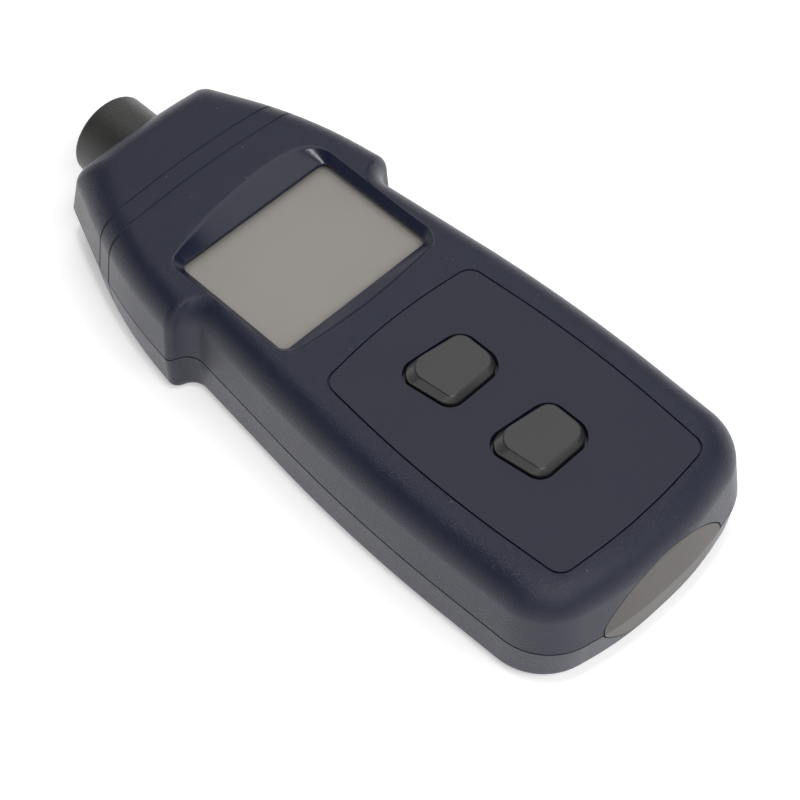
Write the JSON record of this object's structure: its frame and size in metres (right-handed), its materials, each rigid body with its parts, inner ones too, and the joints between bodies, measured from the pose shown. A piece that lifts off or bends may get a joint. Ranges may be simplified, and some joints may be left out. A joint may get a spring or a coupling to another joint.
{
  "type": "laser tachometer",
  "caption": "Hand-held laser tachometer: tapered two-part case with a display window, two push keys, a round sensor tube at the nose and a hinged battery door in the back.",
  "frame": {"origin": "on the plane that the back rests on, under the middle of the whole length and width", "axes": "+X across the instrument to its right as read from the front, +Y from the base end to the sensor tube, +Z out of the front face"},
  "size_m": [0.0774, 0.1972, 0.0325],
  "materials": {
    "case": "fine sparked dark navy",
    "label": "smooth satin dark navy film",
    "key": "satin charcoal",
    "tube": "satin black",
    "insert": "matte warm grey",
    "pane": "clear polished plastic",
    "lcd": "grey display glass",
    "steel": "plated",
    "brass": "turned",
    "board": "green lacquered circuit board",
    "black_plastic": "moulded black",
    "strip_rubber": "layered conductive rubber",
    "cell": "plain dark coat",
    "red_insulation": "red wire insulation",
    "optic": "dark red polished filter"
  },
  "bodies": {
    "case": {"front_shell": "case", "rear_shell": "case", "front_label": "label", "read_switch": "steel", "mem_switch": "steel", "sensor_tube": "tube", "front_lens": "optic", "optics_holder": "black_plastic", "laser_module": "brass", "photodiode": "black_plastic", "sensor_board": "board", "sensor_lead_1": "black_plastic", "sensor_lead_2": "black_plastic", "end_insert": "insert", "case_screw_1": "steel", "case_screw_2": "steel", "case_screw_3": "steel", "case_screw_4": "steel", "board_screw_1": "steel", "board_screw_2": "steel", "board_screw_3": "steel", "board_screw_4": "steel", "main_board": "board", "controller_chip": "black_plastic", "crystal": "steel", "capacitor": "case", "display_window": "pane", "lcd_cell": "lcd", "lcd_frame": "black_plastic", "contact_strip_lower": "strip_rubber", "contact_strip_upper": "strip_rubber", "battery_1": "cell", "battery_2": "cell", "battery_3": "cell", "battery_4": "cell", "contact_spring_1": "steel", "contact_spring_2": "steel", "contact_spring_3": "steel", "contact_spring_4": "steel", "contact_link_left": "steel", "contact_link_right": "steel", "contact_link_middle": "steel", "contact_plus": "steel", "contact_minus": "steel", "battery_lead_red": "red_insulation", "battery_lead_black": "black_plastic"},
    "read_key": {"read_button": "key", "read_plunger": "black_plastic"},
    "mem_key": {"mem_button": "key", "mem_plunger": "black_plastic"},
    "door": {"battery_door": "case"}
  },
  "joints": [
    {"name": "read_key_press", "type": "slide", "parent": "case", "child": "read_key", "axis": [0, 0, -1], "range_m": [0, 0.0008], "stiffness_N_per_m": 1000, "springref_m": -0.0004},
    {"name": "mem_key_press", "type": "slide", "parent": "case", "child": "mem_key", "axis": [0, 0, -1], "range_m": [0, 0.0008], "stiffness_N_per_m": 1000, "springref_m": -0.0004},
    {"name": "door_hinge", "type": "hinge", "parent": "case", "child": "door", "pos_m": [0, -0.0827, 0.00015], "axis": [-1, 0, 0], "range_deg": [0, 70]}
  ]
}
